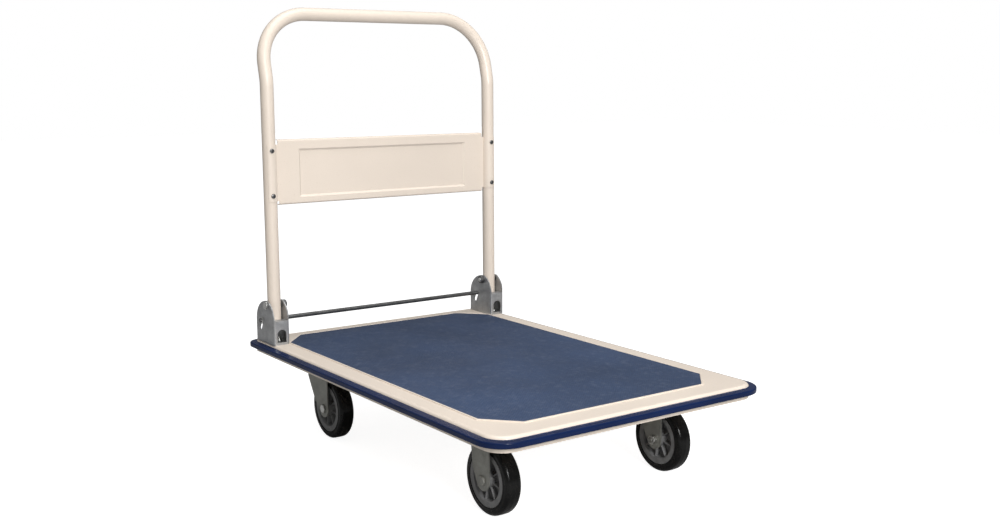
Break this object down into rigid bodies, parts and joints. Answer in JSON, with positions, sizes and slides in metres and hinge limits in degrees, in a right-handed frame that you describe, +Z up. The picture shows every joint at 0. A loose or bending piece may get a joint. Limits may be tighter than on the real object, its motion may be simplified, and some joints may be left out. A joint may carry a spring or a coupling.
{
  "type": "folding platform cart",
  "caption": "Flat steel-deck hand truck with fold-down tubular handle, foot-bar lock, corner-wrapping bumper, two fixed and two swivel casters.",
  "frame": {"origin": "on the floor under the middle of the deck outline", "axes": "+X away from the handle along the deck, +Y to the left, +Z up"},
  "size_m": [0.91, 0.61, 0.872],
  "materials": {
    "cream_paint": "satin",
    "mat": "fine pebbled vinyl",
    "bumper": "glossy",
    "bracket_zinc": "dull zinc plate",
    "caster_steel": "grey-olive chromate",
    "channel_paint": "satin",
    "dark_steel": "black zinc",
    "bright_steel": "bright zinc",
    "spring_steel": "bright",
    "tyre": "smooth glossy rubber",
    "hub": "moulded nylon",
    "black_plastic": "moulded"
  },
  "bodies": {
    "base": {"deck_pan": "cream_paint", "deck_mat": "mat", "bumper_strip": "bumper", "front_cross_channel": "channel_paint", "rear_cross_channel": "channel_paint", "right_side_rail": "channel_paint", "left_side_rail": "channel_paint", "right_bracket": "bracket_zinc", "left_bracket": "bracket_zinc", "bracket_bolts": "bright_steel", "bracket_nuts": "bright_steel", "pivot_bolts": "bright_steel", "pivot_nuts": "bright_steel", "right_lock_spring": "spring_steel", "left_lock_spring": "spring_steel", "caster_mount_bolts": "bright_steel", "caster_mount_nuts": "bright_steel", "right_front_fork": "caster_steel", "left_front_fork": "caster_steel", "front_axle_bolts": "bright_steel", "front_axle_nuts": "bright_steel", "front_axle_sleeves": "bright_steel", "right_swivel_plate": "caster_steel", "left_swivel_plate": "caster_steel", "right_swivel_bearing": "bright_steel", "left_swivel_bearing": "bright_steel", "right_kingpin": "bright_steel", "left_kingpin": "bright_steel"},
    "handle": {"handle_tube": "cream_paint", "handle_panel": "cream_paint", "panel_screws": "bright_steel", "pivot_bushes": "black_plastic", "handle_end_plugs": "black_plastic"},
    "lock_bar": {"lock_bar": "dark_steel", "lock_bar_clips": "bright_steel"},
    "right_front_wheel": {"right_front_tyre": "tyre", "right_front_hub": "hub", "right_front_bearing": "black_plastic"},
    "right_swivel": {"right_swivel_fork": "caster_steel", "right_rear_axle_bolt": "bright_steel", "right_rear_axle_nut": "bright_steel", "right_rear_axle_sleeve": "bright_steel"},
    "right_rear_wheel": {"right_rear_tyre": "tyre", "right_rear_hub": "hub", "right_rear_bearing": "black_plastic"},
    "left_front_wheel": {"left_front_tyre": "tyre", "left_front_hub": "hub", "left_front_bearing": "black_plastic"},
    "left_swivel": {"left_swivel_fork": "caster_steel", "left_rear_axle_bolt": "bright_steel", "left_rear_axle_nut": "bright_steel", "left_rear_axle_sleeve": "bright_steel"},
    "left_rear_wheel": {"left_rear_tyre": "tyre", "left_rear_hub": "hub", "left_rear_bearing": "black_plastic"}
  },
  "joints": [
    {"name": "handle_fold", "type": "hinge", "parent": "base", "child": "handle", "pos_m": [-0.377, 0, 0.2625], "axis": [0, 1, 0], "range_deg": [0, 90]},
    {"name": "lock_bar_press", "type": "slide", "parent": "base", "child": "lock_bar", "axis": [-0.4115, 0, -0.9114], "range_m": [0, 0.018], "stiffness_N_per_m": 600, "springref_m": -0.01, "deforming": ["right_lock_spring", "left_lock_spring"]},
    {"name": "right_front_wheel_spin", "type": "hinge", "parent": "base", "child": "right_front_wheel", "pos_m": [0.2975, -0.195, 0.0625], "axis": [0, 1, 0], "continuous": true},
    {"name": "right_caster_swivel", "type": "hinge", "parent": "base", "child": "right_swivel", "pos_m": [-0.28, -0.208, 0.145], "axis": [0, 0, 1], "continuous": true},
    {"name": "right_rear_wheel_spin", "type": "hinge", "parent": "right_swivel", "child": "right_rear_wheel", "pos_m": [-0.248, -0.208, 0.0625], "axis": [0, 1, 0], "continuous": true},
    {"name": "left_front_wheel_spin", "type": "hinge", "parent": "base", "child": "left_front_wheel", "pos_m": [0.2975, 0.195, 0.0625], "axis": [0, 1, 0], "continuous": true},
    {"name": "left_caster_swivel", "type": "hinge", "parent": "base", "child": "left_swivel", "pos_m": [-0.28, 0.208, 0.145], "axis": [0, 0, 1], "continuous": true},
    {"name": "left_rear_wheel_spin", "type": "hinge", "parent": "left_swivel", "child": "left_rear_wheel", "pos_m": [-0.248, 0.208, 0.0625], "axis": [0, 1, 0], "continuous": true}
  ]
}
